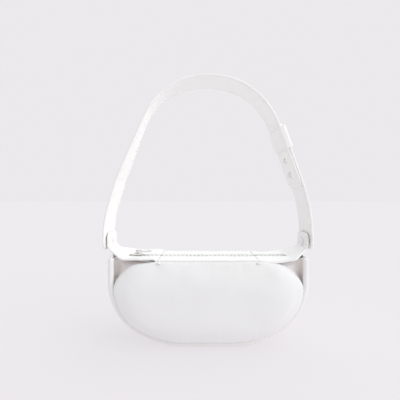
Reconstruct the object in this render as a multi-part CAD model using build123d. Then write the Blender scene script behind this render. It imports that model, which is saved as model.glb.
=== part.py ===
from build123d import *

import math
import os

# A half-moon flower girl basket, made like a small soft bag with a strap handle.
# Millimetres. +Z is up, -Y is the front, and the origin is the middle of the flat base.

# ---- the half-moon outline, seen from the front ----
BODY_HALF_WIDTH = 91.0
BASE_HALF_FLAT = 18.0
SIDE_RADIUS = 54.0
SIDE_CENTRE_Z = 58.5
RIM_TOP = 80.0
GUSSET_TOP = 81.0

# ---- depths, front to back ----
GUSSET_HALF_DEPTH = 28.0
RIM_Y = 29.2
PANEL_BACK_Y = 27.0
PANEL_FRONT_Y = 42.0

# ---- body sections ----
GUSSET_THICK = 2.0
LINING_THICK = 0.8
RIM_RADIUS = 2.6
PANEL_INSET = 5.4
PANEL_TOP = 76.0
PANEL_CORNER = 24.0
PANEL_EDGE_ROUND = 12.0
COVER_THICK = 1.6
FOAM_THICK = 3.0
FOLD_THICK = 1.5
FOLD_BACK_Y = 14.0
FOLD_FROM_X = 46.0
FOLD_FROM_Z = 44.0
BOARD_SIZE = (34.0, 52.0, 1.6)

# ---- the top band ----
BAND_BOTTOM = 76.4
BAND_THICK = 1.6
MOUTH_HALF_LENGTH = 46.0
PATCH_START = 47.0
PATCH_HALF_DEPTH = 29.0
RAMP_START = 79.0
EAR_X = 94.6
EAR_THICK = 1.6
EAR_HALF_WIDTH = 15.0
EAR_TOP = 101.0
EAR_ROUND = 6.0
EAR_FOOT_Z = 85.0
HINGE_Y = 28.0
HINGE_RADIUS = 0.8

# ---- the zip ----
SLIT_HALF = 0.8
TAPE_INNER = 1.4
TAPE_OUTER = 10.0
TAPE_THICK = 0.8
TOOTH = (2.0, 2.4, 2.0)
TOOTH_PITCH = 4.0
FACING_INNER = 4.2
ZIP_END = 80.0
STOP_X = 77.0
STOP_LENGTH = 1.4
SLIDER_X = -70.0
SLIDER_SIZE = (10.0, 10.0)
PLATE_THICK = 1.2
SLIDER_GAP = 0.4
LUG_SIZE = (3.6, 2.6, 3.2)
PIN_HEIGHT = 1.9
PIN_RADIUS = 0.5
RUNNING_GAP = 0.05
PULLER_SIZE = (15.5, 6.0, 1.6)

# ---- the handle ----
STRAP_WIDTH = 38.0
STRAP_THICK = 2.2
LAYER_STEP = 2.3
HANDLE_HALF_SPAN = 98.6
HANDLE_TOP = 251.9
LEG_LEAN = 20.0
SHOULDER_RADIUS = 163.0
SHOULDER_Z = 95.3
STRAP_FOOT = 85.5
STRAP_ROUND = 6.5
LONG_TIP_Z = 145.0
SHORT_TIP_Z = 206.0
KEEPER_FROM = 3.0
KEEPER_LENGTH = 22.0
KEEPER_THICK = 1.4
KEEPER_GAP = 0.2
STUD_DISTANCES = (35.0, 50.0)
STUD_HEAD = (4.0, 1.4)
STUD_POST_RADIUS = 2.0
SCREW_RADIUS = 1.3

# ---- the handle pivots ----
PIVOT_Z = 92.0
PIVOT_RADIUS = 2.0
PIVOT_HEAD = (4.2, 1.2)
PIVOT_CAP = (5.5, 2.2)
PIVOT_GAP = 0.3
WASHER = (7.0, 1.0)

# ---- the panel rivets ----
RIVET_X = 45.0
RIVET_Y = 31.6
RIVET_CAP = (2.3, 1.2)
RIVET_POST_RADIUS = 1.0
BURR_RADIUS = 2.2
BURR_THICK = 0.8

BOTH_SIDES = (-1, 1)
BIG = 400.0

SIDE_CENTRE_X = BODY_HALF_WIDTH - SIDE_RADIUS
RUN_IN = SIDE_CENTRE_X - BASE_HALF_FLAT
BASE_RADIUS = (RUN_IN**2 / (SIDE_CENTRE_Z - SIDE_RADIUS) + SIDE_RADIUS + SIDE_CENTRE_Z) / 2
JOIN_ANGLE = math.degrees(math.asin(RUN_IN / (BASE_RADIUS - SIDE_RADIUS)))
BAND_TOP = BAND_BOTTOM + BAND_THICK

# The panel's corner arc touches the outline's side arc from the inside.
CORNER_Z = PANEL_TOP - PANEL_CORNER
CORNER_STEP = SIDE_RADIUS - PANEL_INSET - PANEL_CORNER
CORNER_DIP = math.degrees(math.asin((SIDE_CENTRE_Z - CORNER_Z) / CORNER_STEP))
CORNER_X = SIDE_CENTRE_X + CORNER_STEP * math.cos(math.radians(CORNER_DIP))


def half_moon(inset, top):
    """The body outline drawn in by an inset, as a face with a flat top."""
    side = BODY_HALF_WIDTH - inset
    edges = [
        Line((-BASE_HALF_FLAT, inset), (BASE_HALF_FLAT, inset)),
        Line((-side, top), (side, top)),
    ]
    for way in BOTH_SIDES:
        low = (way * BASE_HALF_FLAT, BASE_RADIUS)
        high = (way * SIDE_CENTRE_X, SIDE_CENTRE_Z)
        turn = way * JOIN_ANGLE
        edges.append(CenterArc(low, BASE_RADIUS - inset, -90, turn))
        edges.append(CenterArc(high, SIDE_RADIUS - inset, -90 + turn, way * 90 - turn))
        edges.append(Line((way * side, SIDE_CENTRE_Z), (way * side, top)))
    return make_face(Curve() + edges)


def lens(inset):
    """The panel outline: it follows the half moon and rounds off the two top corners."""
    all_in = PANEL_INSET + inset
    edges = [Line((-BASE_HALF_FLAT, all_in), (BASE_HALF_FLAT, all_in))]
    for way in BOTH_SIDES:
        low = (way * BASE_HALF_FLAT, BASE_RADIUS)
        high = (way * SIDE_CENTRE_X, SIDE_CENTRE_Z)
        corner = (way * CORNER_X, CORNER_Z)
        turn = way * JOIN_ANGLE
        to_corner = way * (90 - JOIN_ANGLE - CORNER_DIP)
        edges.append(CenterArc(low, BASE_RADIUS - all_in, -90, turn))
        edges.append(CenterArc(high, SIDE_RADIUS - all_in, -90 + turn, to_corner))
        edges.append(CenterArc(corner, PANEL_CORNER - inset, 90, -way * (90 + CORNER_DIP)))
    top = PANEL_TOP - inset
    edges.append(Line((-CORNER_X, top), (CORNER_X, top)))
    return make_face(Curve() + edges)


def upright(face, from_y, to_y):
    """Extrudes a front-view face between two depths, both counted towards the front."""
    return extrude(Plane.XZ.offset(from_y) * face, amount=to_y - from_y)


def box_between(low, high):
    size = [b - a for a, b in zip(low, high)]
    middle = [(a + b) / 2 for a, b in zip(low, high)]
    return Pos(*middle) * Box(*size)


def rod_x(radius, from_x, to_x, y, z):
    middle = (from_x + to_x) / 2
    return Pos(middle, y, z) * Rot(0, 90, 0) * Cylinder(radius, abs(to_x - from_x))


def dome(radius, height):
    """A low domed cap standing on its own flat face at z = 0."""
    ball = (radius**2 + height**2) / (2 * height)
    cap = Pos(0, 0, height - ball) * Sphere(ball)
    return cap & (Pos(0, 0, height / 2) * Cylinder(radius, height))


def back_of(part):
    return mirror(part, about=Plane.XZ)


def left_of(part):
    return mirror(part, about=Plane.YZ)


# ---- body ----
def gusset_band():
    ring = half_moon(0, GUSSET_TOP) - half_moon(GUSSET_THICK, BIG)
    return upright(ring, -GUSSET_HALF_DEPTH, GUSSET_HALF_DEPTH)


def gusset_lining():
    depth = PANEL_BACK_Y - 0.6
    ring = half_moon(GUSSET_THICK, PANEL_TOP) - half_moon(GUSSET_THICK + LINING_THICK, BIG)
    return upright(ring, -depth, depth)


def base_board():
    width, depth, thick = BOARD_SIZE
    bottom = GUSSET_THICK + LINING_THICK
    return Pos(0, 0, bottom + thick / 2) * Box(width, depth, thick)


def pan(inset):
    """A puffed panel block: its front edge is rounded all the way round."""
    block = upright(lens(inset), PANEL_BACK_Y, PANEL_FRONT_Y - inset)
    return fillet(block.edges().group_by(Axis.Y)[0], PANEL_EDGE_ROUND - inset)


def pan_layer(outer_inset, thick):
    inner = pan(outer_inset + thick)
    plug = upright(lens(outer_inset + thick), PANEL_BACK_Y - 1, PANEL_BACK_Y)
    return pan(outer_inset) - (inner + plug)


def rivet_places():
    return [(way * RIVET_X, -RIVET_Y) for way in BOTH_SIDES]


def top_round_z(y, inset):
    """The height of a panel layer's rounded top edge at a depth y in front of the middle."""
    round_centre = PANEL_FRONT_Y - PANEL_EDGE_ROUND
    radius = PANEL_EDGE_ROUND - inset
    return PANEL_TOP - PANEL_EDGE_ROUND + math.sqrt(radius**2 - (y - round_centre) ** 2)


LAYERS_THICK = COVER_THICK + FOAM_THICK + LINING_THICK
RIVET_SEAT = top_round_z(RIVET_Y, 0) - 0.2
BURR_TOP = top_round_z(RIVET_Y + BURR_RADIUS, LAYERS_THICK) - 0.05


def rivet_tools():
    """What the rivets clear away from the panel layers."""
    seat, post = Part(), Part()
    for x, y in rivet_places():
        seat += Pos(x, y, RIVET_SEAT + 5) * Cylinder(RIVET_CAP[0] + 0.05, 10)
        post += Pos(x, y, RIVET_SEAT - 5) * Cylinder(RIVET_POST_RADIUS, 20)
    return seat, post


def panel_layers():
    seat, post = rivet_tools()
    cover = pan_layer(0, COVER_THICK) - seat - post
    foam = pan_layer(COVER_THICK, FOAM_THICK) - post
    lining = pan_layer(COVER_THICK + FOAM_THICK, LINING_THICK) - post
    return cover, foam, lining


def panel_rivets():
    rivets = []
    for x, y in rivet_places():
        cap = Pos(0, 0, RIVET_SEAT) * dome(*RIVET_CAP)
        length = RIVET_SEAT - BURR_TOP + BURR_THICK
        post = Pos(0, 0, RIVET_SEAT - length / 2) * Cylinder(RIVET_POST_RADIUS, length)
        rivets.append(Pos(x, y, 0) * (cap + post))
    return rivets


def rivet_burrs():
    burrs = []
    for x, y in rivet_places():
        ring = Cylinder(BURR_RADIUS, BURR_THICK) - Cylinder(RIVET_POST_RADIUS, 2 * BURR_THICK)
        burrs.append(Pos(x, y, BURR_TOP - BURR_THICK / 2) * ring)
    return burrs


def piping():
    """The rolled rim: a cord that runs all along the gusset's edge."""
    inset = RIM_RADIUS
    side = BODY_HALF_WIDTH - inset
    edges = [Line((-BASE_HALF_FLAT, inset), (BASE_HALF_FLAT, inset))]
    for way in BOTH_SIDES:
        turn = way * JOIN_ANGLE
        low = (way * BASE_HALF_FLAT, BASE_RADIUS)
        high = (way * SIDE_CENTRE_X, SIDE_CENTRE_Z)
        edges.append(CenterArc(low, BASE_RADIUS - inset, -90, turn))
        edges.append(CenterArc(high, SIDE_RADIUS - inset, -90 + turn, way * 90 - turn))
        edges.append(Line((way * side, SIDE_CENTRE_Z), (way * side, RIM_TOP)))
    path = Plane.XZ.offset(RIM_Y) * Wire(edges)
    end = Plane(origin=(-side, -RIM_Y, RIM_TOP), z_dir=(0, 0, -1))
    return sweep(end * Circle(RIM_RADIUS), path=path) - gusset_band()


def corner_fold():
    """The set-back fold behind a rounded corner of the panel, here the front right one."""
    ramp_foot = (RAMP_START + 0.6, BAND_BOTTOM)
    limit = make_face(
        Polyline(
            (FOLD_FROM_X, FOLD_FROM_Z),
            (FOLD_FROM_X, BAND_BOTTOM),
            ramp_foot,
            (BODY_HALF_WIDTH - GUSSET_THICK, GUSSET_TOP),
            (BODY_HALF_WIDTH, FOLD_FROM_Z),
            close=True,
        )
    )
    inner = lens(FOLD_THICK)
    wall = (lens(0) - inner) & limit
    plate = (half_moon(GUSSET_THICK + LINING_THICK, BIG) - inner) & limit
    return upright(wall, FOLD_BACK_Y, PANEL_BACK_Y) + upright(plate, FOLD_BACK_Y, FOLD_BACK_Y + FOLD_THICK)


# ---- top band ----
def end_patch():
    """The right end of the top band, which turns up into the ear that carries the handle."""
    outer = EAR_X + EAR_THICK
    bend_low = EAR_X + 0.4
    profile = make_face(
        Polyline(
            (PATCH_START, BAND_BOTTOM),
            (RAMP_START + 0.2, BAND_BOTTOM),
            (bend_low, EAR_FOOT_Z),
            (outer, EAR_FOOT_Z + 2.4),
            (outer, EAR_TOP),
            (EAR_X, EAR_TOP),
            (EAR_X, EAR_FOOT_Z + 2.8),
            (bend_low - 1.2, EAR_FOOT_Z + 1.4),
            (RAMP_START - 0.2, BAND_TOP),
            (PATCH_START, BAND_TOP),
            close=True,
        )
    )
    blank = upright(profile, -PATCH_HALF_DEPTH, PATCH_HALF_DEPTH)
    plan = make_face(
        Polyline(
            (PATCH_START, -PATCH_HALF_DEPTH),
            (RAMP_START, -PATCH_HALF_DEPTH),
            (EAR_X - 1, -EAR_HALF_WIDTH),
            (outer, -EAR_HALF_WIDTH),
            (outer, EAR_HALF_WIDTH),
            (EAR_X - 1, EAR_HALF_WIDTH),
            (RAMP_START, PATCH_HALF_DEPTH),
            (PATCH_START, PATCH_HALF_DEPTH),
            close=True,
        )
    )
    patch = blank & extrude(plan, amount=BIG)
    patch -= box_between((0, -FACING_INNER, 0), (STOP_X + STOP_LENGTH, FACING_INNER, BIG))
    patch -= rod_x(PIVOT_RADIUS, EAR_X - 5, outer + 5, 0, PIVOT_Z)
    ear_corners = patch.edges().filter_by(Axis.X).group_by(Axis.Z)[-1]
    return fillet(ear_corners, EAR_ROUND)


def zip_tail():
    """The fixed tape at the right end of the zip, closed round the end of the slit."""
    bottom = BAND_BOTTOM - TAPE_THICK
    tape = box_between((PATCH_START, -TAPE_OUTER, bottom), (ZIP_END, TAPE_OUTER, BAND_BOTTOM))
    gap = box_between((0, -TAPE_INNER, 0), (STOP_X, TAPE_INNER, BIG))
    return tape - gap


def tooth(x, side):
    length, depth, height = TOOTH
    y = side * (SLIT_HALF + depth / 2)
    return Pos(x, y, BAND_BOTTOM + height / 2) * Box(length, depth, height)


def teeth_between(from_x, to_x, sides):
    count = int((to_x - from_x) / TOOTH_PITCH)
    first = (from_x + to_x - (count - 1) * TOOTH_PITCH) / 2
    return [tooth(first + i * TOOTH_PITCH, side) for side in sides for i in range(count)]


def zip_stop():
    return box_between(
        (STOP_X, -FACING_INNER + 0.4, BAND_BOTTOM),
        (STOP_X + STOP_LENGTH - 0.1, FACING_INNER - 0.4, BAND_BOTTOM + TOOTH[2] + 0.4),
    )


def facing():
    """The front half of the top facing, with a round hinge edge along its seam."""
    centre_z = BAND_BOTTOM + HINGE_RADIUS
    edge = rod_x(HINGE_RADIUS, -MOUTH_HALF_LENGTH, MOUTH_HALF_LENGTH, -HINGE_Y, centre_z)
    sheet = box_between(
        (-MOUTH_HALF_LENGTH, -HINGE_Y, BAND_BOTTOM),
        (MOUTH_HALF_LENGTH, -FACING_INNER, BAND_TOP),
    )
    return edge + sheet


def zip_tape():
    return box_between(
        (-MOUTH_HALF_LENGTH, -TAPE_OUTER, BAND_BOTTOM - TAPE_THICK),
        (MOUTH_HALF_LENGTH, -TAPE_INNER, BAND_BOTTOM),
    )


# ---- slider and puller ----
PLATE_BOTTOM = BAND_BOTTOM + TOOTH[2] + SLIDER_GAP
PLATE_TOP = PLATE_BOTTOM + PLATE_THICK
PIN_Z = PLATE_TOP + PIN_HEIGHT


def zip_slider():
    length, depth = SLIDER_SIZE
    under = BAND_BOTTOM - TAPE_THICK - SLIDER_GAP
    top = Pos(0, 0, PLATE_BOTTOM + PLATE_THICK / 2) * Box(length, depth, PLATE_THICK)
    top = fillet(top.edges().filter_by(Axis.Z), 2.0)
    low = Pos(0, 0, under - PLATE_THICK / 2) * Box(length, depth, PLATE_THICK)
    low = fillet(low.edges().filter_by(Axis.Z), 2.0)
    bridge = box_between((0.5, -0.5, under - 0.5), (4.5, 0.5, PLATE_BOTTOM + 0.5))
    lug = Pos(0, 0, PLATE_TOP + LUG_SIZE[2] / 2) * Box(*LUG_SIZE)
    lug = fillet(lug.edges().filter_by(Axis.Y).group_by(Axis.Z)[-1], 1.5)
    hole = Pos(0, 0, PIN_Z) * Rot(90, 0, 0) * Cylinder(PIN_RADIUS, 10)
    return Pos(SLIDER_X, 0, 0) * (top + low + bridge + lug - hole)


def zip_puller():
    """A flat tab, forked round the slider's lug, lying along the zip."""
    length, width, thick = PULLER_SIZE
    tab = Pos(length / 2 - 1.2, 0, PIN_Z) * Box(length, width, thick)
    tab = fillet(tab.edges().filter_by(Axis.Z).group_by(Axis.X)[-1], 2.4)
    slot = box_between((-5, -LUG_SIZE[1] / 2 - 0.3, 0), (LUG_SIZE[0] / 2 + 1.8, LUG_SIZE[1] / 2 + 0.3, BIG))
    eye = Pos(length - 4.6, 0, PIN_Z) * Cylinder(1.2, 10)
    bore = Pos(0, 0, PIN_Z) * Rot(90, 0, 0) * Cylinder(PIN_RADIUS + RUNNING_GAP, 20)
    return Pos(SLIDER_X, 0, 0) * (tab - slot - eye - bore)


def puller_pin():
    return Pos(SLIDER_X, 0, PIN_Z) * Rot(90, 0, 0) * Cylinder(PIN_RADIUS, PULLER_SIZE[1])


# ---- handle ----
def arch_shape(span):
    """Top radius and straight leg length of an arch side that spans a given half width."""
    lean = math.radians(LEG_LEAN)
    across = span - SHOULDER_RADIUS * (1 - math.cos(lean))
    down = HANDLE_TOP - SHOULDER_Z - SHOULDER_RADIUS * math.sin(lean)
    share = math.cos(lean) ** 2 - math.sin(lean) * (1 - math.sin(lean))
    radius = (across * math.cos(lean) - down * math.sin(lean)) / share
    leg = (down * math.cos(lean) - across * (1 - math.sin(lean))) / share
    return radius, leg


def leg_point(span, offset, distance):
    """A point on the straight leg of the right side, down from its upper end."""
    lean = math.radians(LEG_LEAN)
    radius, _ = arch_shape(span)
    x = (radius + offset) * math.cos(lean) + distance * math.sin(lean)
    z = HANDLE_TOP - radius + (radius + offset) * math.sin(lean) - distance * math.cos(lean)
    return x, z


def arch(left_span, right_span, offset):
    """The face under an arch line that stands a given offset outside the strap's middle."""
    feet = (-left_span - offset, STRAP_FOOT), (right_span + offset, STRAP_FOOT)
    edges = [Line(*feet)]
    for way, span in ((-1, left_span), (1, right_span)):
        radius, leg = arch_shape(span)
        high = leg_point(span, offset, 0)
        low = leg_point(span, offset, leg)
        crown = (0, HANDLE_TOP - radius)
        edges.append(CenterArc(crown, radius + offset, 90, way * (LEG_LEAN - 90)))
        edges.append(Line((way * high[0], high[1]), (way * low[0], low[1])))
        shoulder = (way * (span - SHOULDER_RADIUS), SHOULDER_Z)
        start = LEG_LEAN if way > 0 else 180 - LEG_LEAN
        edges.append(CenterArc(shoulder, SHOULDER_RADIUS + offset, start, -way * LEG_LEAN))
        side = way * (span + offset)
        edges.append(Line((side, SHOULDER_Z), (side, STRAP_FOOT)))
    return make_face(Curve() + edges)


RIGHT_SPAN = HANDLE_HALF_SPAN - LAYER_STEP


def strap_band(offset):
    outer = arch(HANDLE_HALF_SPAN, RIGHT_SPAN, offset + STRAP_THICK / 2)
    inner = arch(HANDLE_HALF_SPAN, RIGHT_SPAN, offset - STRAP_THICK / 2)
    half = STRAP_WIDTH / 2
    return upright(outer - inner, -half, half)


def leg_frame(distance, offset):
    """A frame on the right leg: x points outwards through the strap, z up along the leg."""
    lean = math.radians(LEG_LEAN)
    x, z = leg_point(RIGHT_SPAN, offset, distance)
    return Plane(
        origin=(x, 0, z),
        x_dir=(math.cos(lean), 0, math.sin(lean)),
        z_dir=(-math.sin(lean), 0, math.cos(lean)),
    )


def strap_blank(from_x, to_x, from_z, to_z):
    """A block as wide as the strap, whose four long edges are rounded."""
    half = STRAP_WIDTH / 2
    block = box_between((from_x, -half, from_z), (to_x, half, to_z))
    return fillet(block.edges().filter_by(Axis.X), STRAP_ROUND)


def stud_holes():
    holes = Part()
    for distance in STUD_DISTANCES:
        frame = leg_frame(distance, LAYER_STEP / 2)
        holes += frame * Rot(0, 90, 0) * Cylinder(STUD_POST_RADIUS, 12)
    return holes


def long_strap():
    """From the left ear over the top, then down inside the short strap on the right."""
    left = strap_blank(-BIG, BIG, STRAP_FOOT, BIG)
    left -= box_between((0, -BIG, 0), (BIG, BIG, SHORT_TIP_Z))
    right = strap_blank(0, BIG, LONG_TIP_Z, BIG)
    pivot = rod_x(PIVOT_RADIUS + RUNNING_GAP, -BIG, 0, 0, PIVOT_Z)
    return (strap_band(0) & (left + right)) - pivot - stud_holes()


def short_strap():
    """From the right ear up the outside of the long strap."""
    blank = strap_blank(0, BIG, STRAP_FOOT, SHORT_TIP_Z)
    pivot = rod_x(PIVOT_RADIUS + RUNNING_GAP, 0, BIG, 0, PIVOT_Z)
    return (strap_band(LAYER_STEP) & blank) - pivot - stud_holes()


def strap_keeper():
    """The loop that holds the two strap layers together."""
    frame = leg_frame(KEEPER_FROM + KEEPER_LENGTH / 2, LAYER_STEP / 2)
    depth = LAYER_STEP + STRAP_THICK + 2 * KEEPER_GAP
    width = STRAP_WIDTH + 2 * KEEPER_GAP
    ring = Box(depth + 2 * KEEPER_THICK, width + 2 * KEEPER_THICK, KEEPER_LENGTH)
    ring = fillet(ring.edges().filter_by(Axis.Z), 1.6)
    return frame * (ring - Box(depth, width, 2 * KEEPER_LENGTH))


def stud_parts():
    """Two screw studs through both layers: the posts with their heads, and the screws."""
    head_radius, head_height = STUD_HEAD
    reach = (LAYER_STEP + STRAP_THICK) / 2
    posts, screws = [], []
    for distance in STUD_DISTANCES:
        place = leg_frame(distance, LAYER_STEP / 2) * Rot(0, 90, 0)
        head = Pos(0, 0, reach) * dome(head_radius, head_height)
        post = Cylinder(STUD_POST_RADIUS, 2 * reach)
        bore = Pos(0, 0, -1) * Cylinder(SCREW_RADIUS + RUNNING_GAP, 2 * reach)
        posts.append(place * (head + post - bore))
        cap = Pos(0, 0, -reach) * Rot(180, 0, 0) * dome(head_radius, head_height)
        shank = Pos(0, 0, -1) * Cylinder(SCREW_RADIUS, 2 * reach - 2)
        slot = Pos(0, 0, -reach - head_height) * Box(2 * head_radius, 0.8, 1.0)
        screws.append(place * (cap + shank - slot))
    return posts, screws


# ---- handle pivots ----
def pivot_rivet():
    """The right pivot: a flat head inside the ear and a post out through the strap."""
    head_radius, head_height = PIVOT_HEAD
    strap_out = HANDLE_HALF_SPAN + STRAP_THICK / 2
    head = rod_x(head_radius, EAR_X - head_height, EAR_X, 0, PIVOT_Z)
    return head + rod_x(PIVOT_RADIUS, EAR_X - 0.5, strap_out + PIVOT_GAP + 1.0, 0, PIVOT_Z)


def pivot_washer():
    radius, thick = WASHER
    start = EAR_X + EAR_THICK
    ring = rod_x(radius, start, start + thick, 0, PIVOT_Z)
    return ring - rod_x(PIVOT_RADIUS, start - 1, start + 3, 0, PIVOT_Z)


def pivot_cap():
    start = HANDLE_HALF_SPAN + STRAP_THICK / 2 + PIVOT_GAP
    cap = Pos(start, 0, PIVOT_Z) * Rot(0, 90, 0) * dome(*PIVOT_CAP)
    return cap - rod_x(PIVOT_RADIUS, start - 1, start + 1.0, 0, PIVOT_Z)


def build():
    parts = {}
    parts["gusset_band"] = gusset_band()
    parts["gusset_lining"] = gusset_lining()
    parts["base_board"] = base_board()
    names = ("panel", "foam", "lining")
    for name, layer in zip(names, panel_layers()):
        parts[f"front_{name}"] = layer
        parts[f"back_{name}"] = back_of(layer)
    rim = piping()
    parts["front_piping"] = rim
    parts["back_piping"] = back_of(rim)
    fold = corner_fold()
    parts["front_right_fold"] = fold
    parts["front_left_fold"] = left_of(fold)
    parts["back_right_fold"] = back_of(fold)
    parts["back_left_fold"] = left_of(back_of(fold))

    right_only = {
        "end_patch": end_patch(),
        "zip_tail": zip_tail(),
        "zip_stop": zip_stop(),
        "pivot_rivet": pivot_rivet(),
        "pivot_washer": pivot_washer(),
        "pivot_cap": pivot_cap(),
    }
    for name, part in right_only.items():
        parts[f"right_{name}"] = part
        parts[f"left_{name}"] = left_of(part)

    rivets, burrs = panel_rivets(), rivet_burrs()
    parts["panel_rivets"] = rivets + [back_of(r) for r in rivets]
    parts["rivet_burrs"] = burrs + [back_of(b) for b in burrs]
    tail_teeth = teeth_between(PATCH_START + 1, STOP_X - 1, BOTH_SIDES)
    parts["zip_tail_teeth"] = tail_teeth + [left_of(t) for t in tail_teeth]

    for name, part in (("facing", facing()), ("zip_tape", zip_tape())):
        parts[f"front_{name}"] = part
        parts[f"back_{name}"] = back_of(part)
    for name, side in (("front", -1), ("back", 1)):
        parts[f"{name}_zip_teeth"] = teeth_between(-MOUTH_HALF_LENGTH + 1, MOUTH_HALF_LENGTH - 1, (side,))

    parts["zip_slider"] = zip_slider()
    parts["zip_puller"] = zip_puller()
    parts["puller_pin"] = puller_pin()
    parts["long_strap"] = long_strap()
    parts["short_strap"] = short_strap()
    parts["strap_keeper"] = strap_keeper()
    parts["strap_studs"], parts["strap_stud_screws"] = stud_parts()
    return parts


os.makedirs("parts", exist_ok=True)
for node, shape in build().items():
    if isinstance(shape, list):
        shape = Compound(children=shape)
    export_step(shape, f"parts/{node}.step")
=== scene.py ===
import math

import bmesh
import bpy
from mathutils import Matrix, Vector, noise


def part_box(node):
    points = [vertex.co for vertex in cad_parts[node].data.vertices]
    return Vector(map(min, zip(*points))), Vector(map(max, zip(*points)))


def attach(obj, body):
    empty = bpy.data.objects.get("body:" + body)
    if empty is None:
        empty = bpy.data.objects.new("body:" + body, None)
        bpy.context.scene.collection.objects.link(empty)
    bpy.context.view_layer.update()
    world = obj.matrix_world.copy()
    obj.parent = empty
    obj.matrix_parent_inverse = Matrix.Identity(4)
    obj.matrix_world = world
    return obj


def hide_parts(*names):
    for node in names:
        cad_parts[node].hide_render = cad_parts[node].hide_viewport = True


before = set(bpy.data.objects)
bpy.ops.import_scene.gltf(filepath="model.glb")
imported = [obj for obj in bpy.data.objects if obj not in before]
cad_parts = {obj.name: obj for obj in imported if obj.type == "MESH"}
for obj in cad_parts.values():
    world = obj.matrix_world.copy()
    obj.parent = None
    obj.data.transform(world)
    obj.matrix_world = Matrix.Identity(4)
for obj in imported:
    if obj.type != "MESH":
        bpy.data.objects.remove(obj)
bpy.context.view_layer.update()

# A small half-moon flower girl basket in white faux leather. Lengths below are millimetres, in the
# frame's axes: +X right, +Z up, -Y the front. Meshes are written in metres.
MM = 0.001


def box_mm(node):
    low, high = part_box(node)
    return Vector(low) / MM, Vector(high) / MM


# ---- sizes taken from the frame ----
HALF_WIDTH = box_mm("gusset_band")[1].x
GUSSET_TOP = box_mm("gusset_band")[1].z
GUSSET_HALF_DEPTH = box_mm("gusset_band")[1].y
PANEL_FRONT = -box_mm("front_panel")[0].y
PANEL_BACK = -box_mm("front_panel")[1].y
PANEL_TOP = box_mm("front_panel")[1].z
PIPING_TOP = box_mm("front_piping")[1].z
PIPING_RADIUS = (box_mm("front_piping")[1].y - box_mm("front_piping")[0].y) / 2
PIPING_Y = -box_mm("front_piping")[0].y - PIPING_RADIUS
MOUTH_HALF = box_mm("front_facing")[1].x
FACING_LOW, FACING_HIGH = box_mm("front_facing")
PATCH_LOW, PATCH_HIGH = box_mm("right_end_patch")
TAPE_EDGE_Y = -box_mm("front_zip_tape")[1].y
TAIL_LOW, TAIL_HIGH = box_mm("right_zip_tail")
STOP_X = box_mm("right_zip_stop")[0].x
TEETH_LOW, TEETH_HIGH = box_mm("front_zip_teeth")
STRAP_LOW, STRAP_HIGH = box_mm("long_strap")
BOARD_LOW, BOARD_HIGH = box_mm("base_board")

# ---- the half-moon outline ----
BASE_HALF_FLAT = 18.0
SIDE_RADIUS = 54.0
SIDE_Z = 58.5
SIDE_X = HALF_WIDTH - SIDE_RADIUS
RUN_IN = SIDE_X - BASE_HALF_FLAT
BASE_RADIUS = (RUN_IN**2 / (SIDE_Z - SIDE_RADIUS) + SIDE_RADIUS + SIDE_Z) / 2
JOIN = math.degrees(math.asin(RUN_IN / (BASE_RADIUS - SIDE_RADIUS)))

# ---- the panel outline inside it ----
PANEL_INSET = 5.4
CORNER_START = -9.0
# A top corner in shares: out from the straight top edge's end, and up from the side's end.
CORNER_SHAPE = ((0.985, 0.20), (0.93, 0.42), (0.80, 0.67), (0.62, 0.88), (0.36, 0.98))
RING_COUNT = 360
# The level line in the middle of a panel, on which its rings close.
MEDIAL_Z = 41.0
MEDIAL_HALF = 48.0
MEDIAL_STEP = 1.6

# ---- the handle arch ----
STRAP_HALF = STRAP_HIGH.y
STRAP_THICK = 2.2
LAYER_STEP = 2.3
LEFT_SPAN = -STRAP_LOW.x - STRAP_THICK / 2
RIGHT_SPAN = LEFT_SPAN - LAYER_STEP
HANDLE_TOP = STRAP_HIGH.z - STRAP_THICK / 2
STRAP_FOOT = STRAP_LOW.z
LONG_TIP_Z = 145.0
SHORT_TIP_Z = box_mm("short_strap")[1].z
LEG_LEAN = 20.0
SHOULDER_RADIUS = 163.0
SHOULDER_Z = 95.3


# ---- curves ----
def arc(centre, radius, start, end):
    """Points of an arc in the XZ plane, angles in degrees, about one every 1.5 degrees."""
    count = max(2, int(abs(end - start) / 1.5))
    points = []
    for i in range(count + 1):
        angle = math.radians(start + (end - start) * i / count)
        points.append((centre[0] + radius * math.cos(angle), centre[1] + radius * math.sin(angle)))
    return points


def mirrored(points):
    return [(-x, z) for x, z in reversed(points)]


def even(points, count, closed=False):
    """The same line with points evenly spaced along it."""
    line = [Vector(p) for p in points]
    if closed:
        line.append(line[0].copy())
    lengths = [0.0]
    for a, b in zip(line, line[1:]):
        lengths.append(lengths[-1] + (b - a).length)
    steps = count if closed else count - 1
    result, k = [], 0
    for i in range(count):
        want = lengths[-1] * i / steps
        while k < len(line) - 2 and lengths[k + 1] < want:
            k += 1
        span = lengths[k + 1] - lengths[k] or 1.0
        result.append(line[k].lerp(line[k + 1], min(1.0, (want - lengths[k]) / span)))
    return result


def line_length(points):
    return sum((Vector(b) - Vector(a)).length for a, b in zip(points, points[1:]))


def normals_2d(points, closed=False):
    """Unit normals to the left of the direction of travel."""
    count = len(points)
    result = []
    for i in range(count):
        before = points[i - 1] if closed or i > 0 else points[0]
        after = points[(i + 1) % count] if closed or i < count - 1 else points[-1]
        way = (after - before).normalized()
        result.append(Vector((-way.y, way.x)))
    return result


def half_moon_line(inset, top):
    """The outline from the left rim, round the base, to the right rim."""
    right = arc((BASE_HALF_FLAT, BASE_RADIUS), BASE_RADIUS - inset, -90, -90 + JOIN)
    right += arc((SIDE_X, SIDE_Z), SIDE_RADIUS - inset, -90 + JOIN, 0)[1:]
    right.append((HALF_WIDTH - inset, top))
    return mirrored(right) + right


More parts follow.
